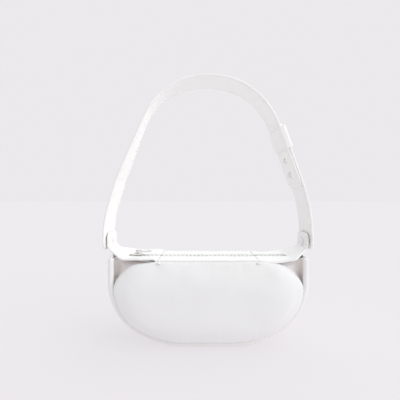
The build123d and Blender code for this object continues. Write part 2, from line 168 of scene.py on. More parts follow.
def corner_line():
    """The rounded top corner of a puffed panel, from its side up to its straight top edge."""
    start = math.radians(CORNER_START + 1)
    radius = SIDE_RADIUS - PANEL_INSET
    low = (SIDE_X + radius * math.cos(start), SIDE_Z + radius * math.sin(start))
    high = (MOUTH_HALF + 1, PANEL_TOP)
    span = Vector((low[0] - high[0], high[1] - low[1]))
    knots = [low]
    for along, up in CORNER_SHAPE:
        knots.append((high[0] + span.x * along, low[1] + span.y * up))
    return smooth_line(knots + [high], 8)


def lens_line(inset):
    """The closed outline of a puffed panel, from the middle of its base to the right."""
    right = arc((BASE_HALF_FLAT, BASE_RADIUS), BASE_RADIUS - PANEL_INSET, -90, -90 + JOIN)
    right += arc((SIDE_X, SIDE_Z), SIDE_RADIUS - PANEL_INSET, -90 + JOIN, CORNER_START)[1:]
    right += [tuple(p) for p in corner_line()]
    outline = even(right + mirrored(right), 2 * RING_COUNT, closed=True)
    normals = normals_2d(outline, closed=True)
    return [point + inward * inset for point, inward in zip(outline, normals)]


def smooth_line(points, per_span=10):
    """A Catmull-Rom curve through a few points."""
    knots = [Vector(p) for p in points]
    first = knots[0] * 2 - knots[1]
    last = knots[-1] * 2 - knots[-2]
    knots = [first] + knots + [last]
    result = []
    for a, b, c, d in zip(knots, knots[1:], knots[2:], knots[3:]):
        for i in range(per_span):
            t = i / per_span
            curve = b * 2 + (c - a) * t + (a * 2 - b * 5 + c * 4 - d) * t**2
            result.append((curve + (b * 3 - a - c * 3 + d) * t**3) / 2)
    return result + [knots[-2]]


def ease(value, low, high):
    t = min(1.0, max(0.0, (value - low) / (high - low)))
    return t * t * (3 - 2 * t)


def hump(value, centre, reach):
    return math.exp(-(((value - centre) / reach) ** 2))


# ---- mesh building ----
class Builder:
    """Collects closed shapes in millimetres and makes one mesh object of them."""

    def __init__(self):
        self.points = []
        self.faces = []

    def loft(self, rings, closed=False, caps=True):
        """Joins rings of points into a tube, which is closed on itself or capped at its ends."""
        start, size = len(self.points), len(rings[0])
        for ring in rings:
            self.points.extend(ring)
        spans = len(rings) if closed else len(rings) - 1
        for r in range(spans):
            a = start + r * size
            b = start + (r + 1) % len(rings) * size
            for i in range(size):
                j = (i + 1) % size
                self.faces.append((a + i, a + j, b + j, b + i))
        if caps and not closed:
            last = start + (len(rings) - 1) * size
            self.faces.append(tuple(start + i for i in reversed(range(size))))
            self.faces.append(tuple(last + i for i in range(size)))

    def grid(self, rows, keep=lambda point: True):
        """An open sheet from rows of points, without the faces that keep turns down."""
        start, size = len(self.points), len(rows[0])
        for row in rows:
            self.points.extend(row)
        for r in range(len(rows) - 1):
            for i in range(size - 1):
                a = start + r * size + i
                face = (a, a + 1, a + size + 1, a + size)
                middle = sum((Vector(self.points[k]) for k in face), Vector()) / 4
                if keep(middle):
                    self.faces.append(face)

    def make(self, name, material):
        mesh = bpy.data.meshes.new(name)
        mesh.from_pydata([Vector(p) * MM for p in self.points], [], self.faces)
        mesh.validate()
        obj = bpy.data.objects.new(name, mesh)
        bpy.context.scene.collection.objects.link(obj)
        obj.data.materials.append(material)
        tidy_mesh(obj)
        return obj


def lofted(name, rings, material, **how):
    builder = Builder()
    builder.loft(rings, **how)
    return builder.make(name, material)


def tidy_mesh(obj):
    """Joins points that coincide, turns faces outwards and shades the mesh smooth."""
    work = bmesh.new()
    work.from_mesh(obj.data)
    bmesh.ops.remove_doubles(work, verts=work.verts, dist=0.002 * MM)
    bmesh.ops.dissolve_degenerate(work, edges=work.edges, dist=0.001 * MM)
    bmesh.ops.delete(work, geom=[v for v in work.verts if not v.link_faces], context="VERTS")
    bmesh.ops.recalc_face_normals(work, faces=work.faces)
    for face in work.faces:
        face.smooth = True
    work.to_mesh(obj.data)
    work.free()


def thicken(obj, thick, edge=0.4):
    """Gives a sheet its thickness, with rounded edges."""
    solid = obj.modifiers.new("thickness", "SOLIDIFY")
    solid.thickness = thick * MM
    solid.offset = 0
    bevel = obj.modifiers.new("edge", "BEVEL")
    bevel.width = edge * MM
    bevel.segments = 3
    bevel.limit_method = "ANGLE"
    bevel.angle_limit = math.radians(50)


def flat_section(half, thick, across=12, round_steps=5):
    """A flat strip's section with round edges: pairs of across and outward distances."""
    radius = thick / 2
    inner = half - radius
    section = []
    for i in range(across + 1):
        section.append((-inner + 2 * inner * i / across, radius))
    for i in range(1, round_steps):
        angle = math.pi / 2 - math.pi * i / round_steps
        section.append((inner + radius * math.cos(angle), radius * math.sin(angle)))
    for i in range(across + 1):
        section.append((inner - 2 * inner * i / across, -radius))
    for i in range(1, round_steps):
        angle = -math.pi / 2 - math.pi * i / round_steps
        section.append((-inner + radius * math.cos(angle), radius * math.sin(angle)))
    return section


def capsule(builder, centre, along, up, length, width, height):
    """One stitch: a short rounded bead lying along a seam."""
    side = along.cross(up).normalized()
    rings = []
    for share in (-0.5, -0.42, -0.25, 0.0, 0.25, 0.42, 0.5):
        size = math.sqrt(max(0.02, 1 - (2 * share) ** 4))
        ring = []
        for k in range(6):
            angle = math.tau * k / 6
            offset = side * (width / 2 * math.cos(angle)) + up * (height / 2 * math.sin(angle))
            ring.append(centre + along * (length * share) + offset * size)
        rings.append(ring)
    builder.loft(rings)


STITCH_PITCH = 3.6
STITCH_LENGTH = 2.7
STITCH_WIDTH = 0.5
STITCH_HEIGHT = 0.34


def stitch_line(builder, line, normals):
    """Stitches at an even pitch along a line of 3-D points with surface normals."""
    total = line_length(line)
    count = max(1, int(total / STITCH_PITCH))
    spot = even(line, 2 * count + 1)
    for i in range(count):
        a, b = spot[2 * i], spot[2 * i + 2]
        share = (2 * i + 1) / (2 * count) * (len(line) - 1)
        normal = normals[min(len(normals) - 1, round(share))]
        along = (b - a).normalized()
        capsule(builder, spot[2 * i + 1], along, normal, STITCH_LENGTH, STITCH_WIDTH, STITCH_HEIGHT)


# ---- materials ----
def new_material(name, colour, roughness, **values):
    material = bpy.data.materials.new(name)
    material.use_nodes = True
    shader = material.node_tree.nodes["Principled BSDF"]
    shader.inputs["Base Color"].default_value = (*colour, 1)
    shader.inputs["Roughness"].default_value = roughness
    for key, value in values.items():
        shader.inputs[key.replace("_", " ")].default_value = value
    return material, material.node_tree, shader


def add(tree, kind, **values):
    node = tree.nodes.new(kind)
    for key, value in values.items():
        if hasattr(node, key):
            setattr(node, key, value)
        else:
            node.inputs[key.replace("_", " ")].default_value = value
    return node


def two_tone(tree, factor, first, second, low=0.35, high=0.65):
    ramp = add(tree, "ShaderNodeValToRGB")
    ramp.color_ramp.elements[0].position = low
    ramp.color_ramp.elements[0].color = (*first, 1)
    ramp.color_ramp.elements[1].position = high
    ramp.color_ramp.elements[1].color = (*second, 1)
    tree.links.new(factor, ramp.inputs[0])
    return ramp.outputs[0]


def leather(name, colour, shade, roughness=0.42, grain=0.00006, scale=850.0):
    """Coated faux leather: pebbled grain, fine pores and a faint unevenness of tone and gloss."""
    material, tree, shader = new_material(name, colour, roughness, Specular_IOR_Level=0.45)
    here = add(tree, "ShaderNodeTexCoord").outputs["Object"]
    cloud = add(tree, "ShaderNodeTexNoise", Scale=26.0, Detail=4.0, Roughness=0.55)
    pebble = add(tree, "ShaderNodeTexVoronoi", feature="SMOOTH_F1", Scale=scale, Smoothness=0.6)
    pores = add(tree, "ShaderNodeTexNoise", Scale=2600.0, Detail=3.0)
    for texture in (cloud, pebble, pores):
        tree.links.new(here, texture.inputs["Vector"])
    tone = two_tone(tree, cloud.outputs[0], shade, colour)
    tree.links.new(tone, shader.inputs["Base Color"])
    gloss = add(tree, "ShaderNodeMapRange", To_Min=roughness - 0.07, To_Max=roughness + 0.09)
    tree.links.new(cloud.outputs[0], gloss.inputs["Value"])
    tree.links.new(gloss.outputs[0], shader.inputs["Roughness"])
    fine = add(tree, "ShaderNodeBump", Strength=0.35, Distance=grain * 0.5)
    tree.links.new(pores.outputs[0], fine.inputs["Height"])
    coarse = add(tree, "ShaderNodeBump", Strength=0.5, Distance=grain, invert=True)
    tree.links.new(pebble.outputs[0], coarse.inputs["Height"])
    tree.links.new(fine.outputs[0], coarse.inputs["Normal"])
    tree.links.new(coarse.outputs[0], shader.inputs["Normal"])
    return material


def cloth(name, colour, shade, threads=1400.0):
    """Plain woven cloth: two crossed sets of threads, a little uneven in tone."""
    sheen = {"Sheen_Weight": 0.25, "Sheen_Roughness": 0.5}
    material, tree, shader = new_material(name, colour, 0.85, **sheen)
    here = add(tree, "ShaderNodeTexCoord").outputs["Object"]
    weave = add(tree, "ShaderNodeMath", operation="MAXIMUM")
    for i, direction in enumerate(("X", "Z")):
        bands = {"bands_direction": direction, "Scale": threads / 6.283, "Distortion": 0.4}
        wave = add(tree, "ShaderNodeTexWave", **bands)
        tree.links.new(here, wave.inputs["Vector"])
        tree.links.new(wave.outputs["Fac"], weave.inputs[i])
    slub = add(tree, "ShaderNodeTexNoise", Scale=140.0, Detail=3.0)
    tree.links.new(here, slub.inputs["Vector"])
    tone = two_tone(tree, slub.outputs[0], shade, colour)
    tree.links.new(tone, shader.inputs["Base Color"])
    bump = add(tree, "ShaderNodeBump", Strength=0.6, Distance=0.00012)
    tree.links.new(weave.outputs[0], bump.inputs["Height"])
    tree.links.new(bump.outputs[0], shader.inputs["Normal"])
    return material


def metal(name, colour, roughness=0.22):
    """Pale plated metal with fine polishing marks and slightly uneven gloss."""
    material, tree, shader = new_material(name, colour, roughness, Metallic=1.0)
    here = add(tree, "ShaderNodeTexCoord").outputs["Object"]
    marks = add(tree, "ShaderNodeTexNoise", Scale=900.0, Detail=5.0, Roughness=0.7)
    tree.links.new(here, marks.inputs["Vector"])
    gloss = add(tree, "ShaderNodeMapRange", To_Min=roughness - 0.08, To_Max=roughness + 0.14)
    tree.links.new(marks.outputs[0], gloss.inputs["Value"])
    tree.links.new(gloss.outputs[0], shader.inputs["Roughness"])
    bump = add(tree, "ShaderNodeBump", Strength=0.15, Distance=0.00003)
    tree.links.new(marks.outputs[0], bump.inputs["Height"])
    tree.links.new(bump.outputs[0], shader.inputs["Normal"])
    return material


def plastic(name, colour, roughness=0.3):
    """Moulded plastic with a faint orange-peel surface."""
    material, tree, shader = new_material(name, colour, roughness)
    here = add(tree, "ShaderNodeTexCoord").outputs["Object"]
    peel = add(tree, "ShaderNodeTexNoise", Scale=1500.0, Detail=2.0)
    tree.links.new(here, peel.inputs["Vector"])
    tone = two_tone(tree, peel.outputs[0], [c * 0.95 for c in colour], colour)
    tree.links.new(tone, shader.inputs["Base Color"])
    bump = add(tree, "ShaderNodeBump", Strength=0.2, Distance=0.00004)
    tree.links.new(peel.outputs[0], bump.inputs["Height"])
    tree.links.new(bump.outputs[0], shader.inputs["Normal"])
    return material


WHITE = (0.90, 0.897, 0.90)
WHITE_SHADE = (0.89, 0.885, 0.88)
BODY_LEATHER = leather("body_leather", WHITE, WHITE_SHADE)
# Painted light: the band and the strap are the same white leather as the body, made lighter to
# stand in for the stronger light they catch.
LIT_BAND_LEATHER = leather("band_leather", (0.955, 0.95, 0.945), (0.93, 0.925, 0.915), 0.38)
STRAP = ((0.965, 0.96, 0.94), (0.94, 0.935, 0.915))
LIT_STRAP_LEATHER = leather("strap_leather", *STRAP, 0.42, grain=0.00003, scale=1000.0)
RIM_LEATHER = leather("rim_leather", (0.92, 0.905, 0.895), (0.89, 0.875, 0.86), 0.45, grain=0.00007)
# Painted shade: the pocket leather is darker and pinker than the body's, standing in for the shade
# deep in the tucked corner recesses.
SHADED_FOLD_LEATHER = leather("fold_leather", (0.90, 0.86, 0.84), (0.86, 0.81, 0.79), 0.55)
THREAD = cloth("thread", (0.92, 0.915, 0.90), (0.89, 0.885, 0.87), 9000.0)
LINING = cloth("lining_cloth", (0.92, 0.90, 0.87), (0.88, 0.86, 0.83))
TAPE = cloth("zip_tape", (0.92, 0.91, 0.89), (0.88, 0.87, 0.85), 2600.0)
TEETH = plastic("zip_plastic", (0.91, 0.90, 0.88))
WASHER = plastic("washer_plastic", (0.80, 0.79, 0.76), 0.5)
METAL = metal("pale_metal", (0.80, 0.78, 0.75))
LACQUER = plastic("white_lacquer", (0.90, 0.895, 0.88), 0.25)


def place(obj, body, slot, *nodes):
    """Puts a piece on its body and hides the CAD nodes that it replaces; the slot argument is not
    used.
    """
    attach(obj, body)
    if nodes:
        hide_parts(*nodes)
    return obj


# ---- body ----
def at(point, y):
    """A point of an XZ outline, moved to a depth y."""
    return Vector((point[0], y, point[1]))


GUSSET_THICK = 2.0
GUSSET_SEAM = 23.0
LINING_THICK = 0.8


def make_gusset():
    """The U strip that is both sides and the base, a little full between its two rims."""
    line = even(half_moon_line(GUSSET_THICK / 2, GUSSET_TOP), 200)
    normals = normals_2d(line)
    section = flat_section(GUSSET_HALF_DEPTH, GUSSET_THICK, 18)
    outward = [Vector((-n.x, 0, -n.y)) for n in normals]

    def surface(i, across, up):
        fall = 0.7 * (across / GUSSET_HALF_DEPTH) ** 4
        ripple = 0.35 * noise.noise(Vector((i * 0.09, across * 0.06, 3.0)))
        return at(line[i], across) + outward[i] * (up - fall - abs(ripple))

    rings = [[surface(i, across, up) for across, up in section] for i in range(len(line))]
    gusset = lofted("gusset_leather", rings, BODY_LEATHER)
    place(gusset, "basket", "body_leather", "gusset_band")
    seams = Builder()
    for across in (GUSSET_SEAM, -GUSSET_SEAM):
        spots = [surface(i, across, GUSSET_THICK / 2) for i in range(3, len(line) - 3)]
        stitch_line(seams, spots, outward[3:-3])
    place(seams.make("gusset_stitches", THREAD), "basket", "body_leather")


def make_gusset_lining():
    """The cloth inside the sides and the base, from panel to panel."""
    half_depth = PANEL_BACK - LINING_THICK
    line = even(half_moon_line(GUSSET_THICK + 0.5, PANEL_TOP - 1), 180)
    normals = normals_2d(line)
    section = flat_section(half_depth, LINING_THICK, 18)
    rings = []
    for i, (point, inward) in enumerate(zip(line, normals)):
        ring = []
        for across, up in section:
            ripple = 0.3 * noise.noise(Vector((i * 0.12, across * 0.08, 8.0)))
            ring.append(at(point, across) + Vector((inward.x, 0, inward.y)) * (up + abs(ripple)))
        rings.append(ring)
    obj = lofted("gusset_cloth", rings, LINING)
    place(obj, "basket", "lining_cloth", "gusset_lining")


# Rings of a panel, as shares of the way from its seam to its middle: close together at the seam.
PAD_STEPS = (0.0, 0.008, 0.024, 0.05, 0.085, 0.13, 0.18, 0.24, 0.31)
PAD_STEPS += (0.39, 0.48, 0.57, 0.66, 0.75, 0.84, 0.92, 1.0)
BULGE_SHARE = 0.18
RIDGE_SPOT = Vector((12.0, 54.0))
RIDGE_ACROSS = Vector((0.68, -0.73))
TOP_SEAM_OUT = 1.9
TOP_SEAM_UP = 1.1
COVER_EDGE = 0.1
COVER_PUCKER = 0.55
COVER_BULGE = 2.4
PAD_WALL = 4.6
PAD_RIM = 4.4
PAD_REAR = PANEL_BACK + 0.2
CLOTH_FACES = (4.8, 5.4)
CLOTH_REAR = PANEL_BACK + 0.6


def panel_rings(inset, front, rear, side, pucker, bulge=0.0):
    """Rings from the panel's seam in to its middle, over a puffed surface."""
    outline = even(lens_line(inset), RING_COUNT, closed=True)
    normals = normals_2d(outline, closed=True)
    spots = []
    for point in outline:
        x = max(-MEDIAL_HALF, min(MEDIAL_HALF, point.x))
        spots.append(Vector((round(x / MEDIAL_STEP) * MEDIAL_STEP, MEDIAL_Z)))
    rings = []

    def top_seam(point):
        """How much of a point's edge is the straight seam under the mouth."""
        beyond = ease(abs(point.x), MOUTH_HALF, MOUTH_HALF + 14)
        return ease(point.y, PANEL_TOP - 5, PANEL_TOP - 0.5) * (1 - beyond)

    def height(share, point, i):
        back = rear + TOP_SEAM_OUT * top_seam(point) * (1 - min(1.0, share * 8))
        dome = math.sqrt(max(0.0, 1 - (1 - share) ** 3))
        soft = noise.noise(Vector((point.x * 0.022, point.y * 0.03, 5.0 * side)))
        soft += 1.6 * hump((point - RIDGE_SPOT).dot(RIDGE_ACROSS), 0, 26) - 0.6
        seam = noise.noise(Vector((i * 0.28, 7.0 * side, 0.0)))
        seam *= math.exp(-share / 0.10) * min(1, share * 30)
        return back + (front - back) * dome * (1 - 0.035 * (1 - soft)) + pucker * seam

    for share in PAD_STEPS:
        ring = []
        for i, (point, inward, spot) in enumerate(zip(outline, normals, spots)):
            fill = bulge * math.sin(math.pi * min(1.0, share / BULGE_SHARE))
            fill *= ease(PANEL_TOP - 6 - point.y, 0, 14)
            y = height(share, point.lerp(spot, share), i)
            lift = Vector((0, TOP_SEAM_UP * top_seam(point) * (1 - min(1.0, share * 6))))
            ring.append(at(point.lerp(spot, share) - inward * fill + lift, side * y))
        rings.append(ring)
    return rings


# ---- the cover's cloth pass: every second ring, and every SIM_AROUND-th point of it ----
SIM_FRAMES = 20
SIM_AROUND = 2
SIM_SMOOTH = 2
SIM_CAP = 1.2
SIM_PRESSURE = 1.2
SIM_SLACK = 0.02


def smooth_row(rows, r):
    """One row of moves, each averaged with its neighbours; the sewn edge stays put."""
    if r == 0:
        return rows[0]
    below, here, above = rows[r - 1], rows[r], rows[min(r + 1, len(rows) - 1)]
    result = []
    for i, move in enumerate(here):
        beside = here[i - 1] + here[(i + 1) % len(here)]
        result.append((move * 2 + beside + below[i] + above[i]) / 6)
    return result


def settle_cover(rings):
    """Lets the cover, sewn down round its edge and a little slack, swell as cloth under pressure.

    Gives how far each point of a coarser copy of the rings moves.
    """
    coarse = [ring[::SIM_AROUND] for ring in rings[::2]]
    index, points, table = {}, [], []
    for ring in coarse:
        row = []
        for point in ring:
            key = tuple(round(c, 3) for c in point)
            if key not in index:
                index[key] = len(points)
                points.append(point)
            row.append(index[key])
        table.append(row)
    faces = []
    for low, high in zip(table, table[1:]):
        for i, a in enumerate(low):
            j = (i + 1) % len(low)
            corners = dict.fromkeys((a, low[j], high[j], high[i]))
            faces.append(tuple(corners))
    mesh = bpy.data.meshes.new("cover_cloth")
    mesh.from_pydata([p * MM for p in points], [], faces)
    cover = bpy.data.objects.new("cover_cloth", mesh)
    bpy.context.scene.collection.objects.link(cover)
    pins = cover.vertex_groups.new(name="seam")
    pins.add(table[0], 1.0, "REPLACE")
    cloth = cover.modifiers.new("cloth", "CLOTH")
    settings = cloth.settings
    settings.quality = 6
    settings.mass = 0.0004
    settings.tension_stiffness = 12
    settings.compression_stiffness = 12
    settings.shear_stiffness = 6
    settings.bending_stiffness = 8
    settings.vertex_group_mass = "seam"
    settings.use_pressure = True
    settings.uniform_pressure_force = SIM_PRESSURE
    settings.shrink_min = -SIM_SLACK
    settings.effector_weights.gravity = 0
    cloth.collision_settings.use_collision = False
    cloth.point_cache.frame_start = 1
    cloth.point_cache.frame_end = SIM_FRAMES
    for number in range(1, SIM_FRAMES + 1):
        bpy.context.scene.frame_set(number)
    settled = cover.evaluated_get(bpy.context.evaluated_depsgraph_get()).data
    moved = [settled.vertices[k].co / MM - points[k] for k in range(len(points))]
    bpy.data.objects.remove(cover)
    bpy.context.scene.frame_set(1)
    for k, move in enumerate(moved):
        if move.length > SIM_CAP:
            moved[k] = move * (SIM_CAP / move.length)
    rows = [[moved[k] for k in row] for row in table]
    for _ in range(SIM_SMOOTH):
        rows = [smooth_row(rows, r) for r in range(len(rows))]
    return rows


def add_moves(rings, moves):
    """Spreads the moves of the coarser rings over the full ones, dying away from the seam."""
    for r, ring in enumerate(rings):
        keep = 1 - ease(PAD_STEPS[r], 0.30, 0.72)
        low, high = r // 2, min((r + 1) // 2, len(moves) - 1)
        for i in range(len(ring)):
            a = i // SIM_AROUND
            b = (i + SIM_AROUND - 1) // SIM_AROUND % len(moves[0])
            four = moves[low][a] + moves[low][b] + moves[high][a] + moves[high][b]
            ring[i] = ring[i] + four * (keep / 4)


def make_panel(name, side):
    """The puffed cover and its foam as one closed pad, hollow to the inside of the basket."""
    outer = panel_rings(COVER_EDGE, PANEL_FRONT, PAD_REAR, side, COVER_PUCKER, COVER_BULGE)
    add_moves(outer, settle_cover(outer))
    inner = panel_rings(PAD_RIM, PANEL_FRONT - PAD_WALL, PAD_REAR, side, 0.0)
    pad = lofted(f"{name}_pad", list(reversed(inner)) + outer, BODY_LEATHER, caps=False)
    place(pad, "basket", "body_leather", f"{name}_panel", f"{name}_foam")


def make_panel_lining(name, side):
    """The cloth over the inner face of a panel's pad."""
    outer, inner = (
        panel_rings(depth, PANEL_FRONT - depth, CLOTH_REAR, side, 0.0) for depth in CLOTH_FACES
    )
    obj = lofted(f"{name}_cloth", list(reversed(inner)) + outer, LINING, caps=False)
    place(obj, "basket", "lining_cloth", f"{name}_lining")


def make_piping(name, side):
    """The rolled rim along the gusset's edge, with small gathers where it turns."""
    line = even(half_moon_line(PIPING_RADIUS, PIPING_TOP - 0.8), 260)
    normals = normals_2d(line)
    rings = []
    for i, (point, inward) in enumerate(zip(line, normals)):
        out = Vector((inward.x, 0, inward.y))
        forward = Vector((0, side, 0))
        ring = []
        gather = 1 + 0.045 * noise.noise(Vector((i * 0.55, 4.0 * side, 1.0)))
        radius = PIPING_RADIUS * min(gather, 1.0)
        for k in range(16):
            angle = math.tau * k / 16
            spot = at(point, side * PIPING_Y) + out * (radius * math.cos(angle))
            ring.append(spot + forward * (radius * math.sin(angle)))
        rings.append(ring)
    ends = []
    for end in (0, -1):
        middle = at(line[end], side * PIPING_Y)
        caps = []
        for step in (0.3, 0.6, 0.85):
            lift = Vector((0, 0, PIPING_RADIUS * step * 0.3))
            caps.append([middle.lerp(p, math.sqrt(1 - step**2)) + lift for p in rings[end]])
        ends.append(caps)
    rim = lofted(f"{name}_rim", list(reversed(ends[0])) + rings + ends[1], RIM_LEATHER)
    place(rim, "basket", "rim_leather", f"{name}_piping")


FOLD_TUCK = 1.7
FOLD_STEPS = 14
FOLD_SPOTS = 36
# How far a fold sinks behind its panel, by the sign of x: the left ones are deeper.
FOLD_DEEP = {-1: 11.0, 1: 6.5}


def make_fold(name, side, way):
    """The tucked pocket behind a rounded top corner of a panel."""
    middle = Vector((MEDIAL_HALF, MEDIAL_Z))
    corner = even(corner_line(), FOLD_SPOTS)
    inner = [p + (middle - p).normalized() * FOLD_TUCK for p in corner]
    rim_x = HALF_WIDTH - 2.3
    ramp_x, ramp_z = 79.0, PATCH_LOW.z - 0.1
    outer_line = [
        (rim_x, inner[0].y),
        (rim_x, GUSSET_TOP - 1.5),
        (ramp_x, ramp_z),
        (inner[-1].x, ramp_z),
    ]
    outer = even(outer_line, FOLD_SPOTS)
    rows = []
    for k in range(FOLD_STEPS + 1):
        share = k / FOLD_STEPS
        row = []
        for i, (a, b) in enumerate(zip(inner, outer)):
            spot = a.lerp(b, share)
            deep = FOLD_DEEP[way] * math.sin(math.pi * 0.7 * share) ** 0.9
            gap = max(0.0, min(1.0, ((b - a).length - FOLD_TUCK) / 5.0))
            crease = 0.5 * noise.noise(Vector((i * 0.22, share * 1.5, 2.0 * side + way)))
            y = PANEL_BACK + 0.9 - deep * gap + crease * gap * share
            row.append(Vector((way * spot.x, side * y, spot.y)))
        rows.append(row)
    builder = Builder()
    builder.grid(rows)
    obj = builder.make(f"{name}_pocket", SHADED_FOLD_LEATHER)
    thicken(obj, 1.2)
    place(obj, "basket", "fold_leather", f"{name}_fold")


def make_board():
    """The covered stiffener that lies on the base."""
    half = Vector((BOARD_HIGH.x, BOARD_HIGH.y))
    section = flat_section(half.y, BOARD_HIGH.z - BOARD_LOW.z, 16)
    middle = (BOARD_HIGH.z + BOARD_LOW.z) / 2
    rings = []
    count = 24
    corner = 4.0
    for i in range(count + 1):
        x = -half.x + 2 * half.x * i / count
        near = max(0.0, corner - (half.x - abs(x)))
        narrow = corner - math.sqrt(max(0.0, corner**2 - near**2))
        scale = (half.y - narrow) / half.y
        rings.append([Vector((x, across * scale, middle + up)) for across, up in section])
    place(lofted("base_board_cover", rings, LINING), "basket", "board", "base_board")


# ---- top band ----
BAND_THICK = FACING_HIGH.z - FACING_LOW.z
BAND_Z = PATCH_LOW.z + BAND_THICK / 2
EAR_X = PATCH_HIGH.x - BAND_THICK / 2
EAR_TOP = PATCH_HIGH.z
EAR_HALF = 15.0
EAR_ROUND = 6.0
PATCH_HALF = PATCH_HIGH.y
SLOT_HALF = -FACING_HIGH.y
SLOT_END = STOP_X + 1.4
SLOT_LAP = 0.7
PATCH_STEPS = 12
END_LAP = 0.35


def ear_line():
    """The end patch's profile: level, then a ramp, then upright."""
    climb = [(60, 0.0), (72, 0.0), (79, 0.5), (86, 3.9), (92, 7.4)]
    climb += [(EAR_X - 0.5, 11.0), (EAR_X, 15.5)]
    knots = [(PATCH_LOW.x - END_LAP, BAND_Z)]
    knots += [(x, BAND_Z + rise) for x, rise in climb]
    knots.append((EAR_X, EAR_TOP))
    return smooth_line(knots, 9)


def ear_half_width(point, run_left):
    half = PATCH_HALF + (EAR_HALF - PATCH_HALF) * ease(point.x, 78, 94.4)
    if run_left < EAR_ROUND:
        half -= EAR_ROUND - math.sqrt(EAR_ROUND**2 - (EAR_ROUND - run_left) ** 2)
    return half


def edge_curl(x, share, way):
    """How far the free edge of an end patch lifts on the left and droops on the right."""
    lift = 1.7 * ease(x, 47, 50) * (1 - ease(x, 78, 90))
    if way > 0:
        lift = 0.9 * hump(x, 78, 7) - 1.3 * hump(x, 60, 9)
    return lift * ease(abs(share), 0.55, 1.0)


def patch_rows(way):
    line = even(ear_line(), 70)
    total = line_length(line)
    rows, run = [], 0.0
    slot_share = SLOT_HALF / PATCH_HALF
    shares = [slot_share + (1 - slot_share) * k / PATCH_STEPS for k in range(PATCH_STEPS + 1)]
    between = [k * slot_share / 3 for k in (-2, -1, 0, 1, 2)]
    shares = [-share for share in reversed(shares)] + between + shares
    for i, point in enumerate(line):
        if i:
            run += (point - line[i - 1]).length
        half = ear_half_width(point, total - run)
        row = []
        for share in shares:
            soft = 0.25 * noise.noise(Vector((point.x * 0.08, share * 2.0, way)))
            lift = edge_curl(point.x, share, way) + soft * (1 - ease(point.x, 80, 90))
            row.append(Vector((way * point.x, share * half, point.y + lift)))
        rows.append(row)
    return rows


def make_patch(name, way):
    builder = Builder()
    builder.grid(patch_rows(way), lambda p: abs(p.y) > SLOT_HALF or abs(p.x) > SLOT_END)
    obj = builder.make(f"{name}_band_end", LIT_BAND_LEATHER)
    thicken(obj, BAND_THICK)
    place(obj, "basket", "band_leather", f"{name}_end_patch")


def patch_stitches(way, builder):
    """Seams round an end patch: beside the slot and along the free edge up the ear."""
    rows = patch_rows(way)
    size = len(rows[0])
    beside_slot = (PATCH_STEPS - 1, size - PATCH_STEPS)
    for column in (1, size - 2) + beside_slot:
        line, normals = [], []
        for r in range(1, len(rows) - 2):
            point = rows[r][column]
            if column in beside_slot and abs(point.x) > SLOT_END:
                break
            along = rows[r + 1][column] - rows[r - 1][column]
            across = rows[r][column + 1] - rows[r][column - 1]
            normal = along.cross(across).normalized() * way
            normal = -normal if normal.z < -0.2 else normal
            line.append(point + normal * (BAND_THICK / 2))
            normals.append(normal)
        stitch_line(builder, line, normals)


def make_facing(name, side):
    """One half of the mouth: a strip that hinges along its outer seam."""
    low, high = box_mm(f"{name}_facing")
    low.x, high.x = low.x - END_LAP, high.x + END_LAP
    outer, inner = side * -FACING_LOW.y, side * (SLOT_HALF - SLOT_LAP)
    half = abs(outer - inner) / 2
    middle = (outer + inner) / 2
    section = flat_section(half, BAND_THICK, 14)
    rings = []
    count = 60
    for i in range(count + 1):
        x = low.x + (high.x - low.x) * i / count
        ring = []
        for across, up in section:
            share = across / half * -side
            wave = noise.noise(Vector((x * 0.05, across * 0.1, side)))
            sag = -0.45 * (1 - share**2) + 0.2 * wave
            ring.append(Vector((x, middle + across, BAND_Z + up + min(0.0, sag))))
        rings.append(ring)
    flap = f"{name}_flap"
    strip = lofted(f"{name}_mouth_strip", rings, LIT_BAND_LEATHER)
    place(strip, flap, "band_leather", f"{name}_facing")
    seams = Builder()
    up = Vector((0, 0, 1))
    sewn_z = BAND_Z + BAND_THICK / 2 - 0.05
    reach = int(MOUTH_HALF)
    for y in (side * (SLOT_HALF + 2.2), side * (-FACING_LOW.y - 2.6)):
        line = [Vector((x, y, sewn_z)) for x in range(1 - reach, reach)]
        stitch_line(seams, line, [up] * len(line))
    place(seams.make(f"{name}_mouth_stitches", THREAD), flap, "zip_tape")


# ---- zip ----
TAPE_CREEP = 0.8


def make_tape(name, side):
    """The zip tape sewn under one half of the mouth, a little wavy along its free edge."""
    low, high = box_mm(f"{name}_zip_tape")
    if side < 0:
        high.y += TAPE_CREEP
    else:
        low.y -= TAPE_CREEP
    half = (high.y - low.y) / 2
    middle = (low + high) / 2
    section = flat_section(half, high.z - low.z, 6)
    rings = []
    count = 80
    for i in range(count + 1):
        x = low.x + (high.x - low.x) * i / count
        wave = 0.12 * abs(math.sin(x * 0.7))
        ring = []
        for across, up in section:
            dip = wave * ease(-side * across, -half, half)
            ring.append(Vector((x, middle.y + across, middle.z + up - dip)))
        rings.append(ring)
    tape = lofted(f"{name}_tape", rings, TAPE)
    place(tape, f"{name}_flap", "zip_tape", f"{name}_zip_tape")


def make_tail(name, way):
    """The fixed end of the tape, closed round the end of the slit."""
    inner = TAPE_EDGE_Y - TAPE_CREEP
    outer = TAIL_HIGH.y
    rows = []
    count = 30
    ys = [-outer, -8, -6, -4, -2, -inner, -inner / 3, inner / 3, inner, 2, 4, 6, 8, outer]
    for i in range(count + 1):
        x = TAIL_LOW.x + (TAIL_HIGH.x - TAIL_LOW.x) * i / count
        rows.append([Vector((way * x, y, (TAIL_LOW.z + TAIL_HIGH.z) / 2)) for y in ys])
    builder = Builder()
    builder.grid(rows, lambda p: abs(p.y) > inner or abs(p.x) > STOP_X)
    obj = builder.make(f"{name}_tail_tape", TAPE)
    thicken(obj, TAIL_HIGH.z - TAIL_LOW.z, 0.2)
    place(obj, "basket", "zip_tape", f"{name}_zip_tail")


TOOTH_CREEP = 0.25


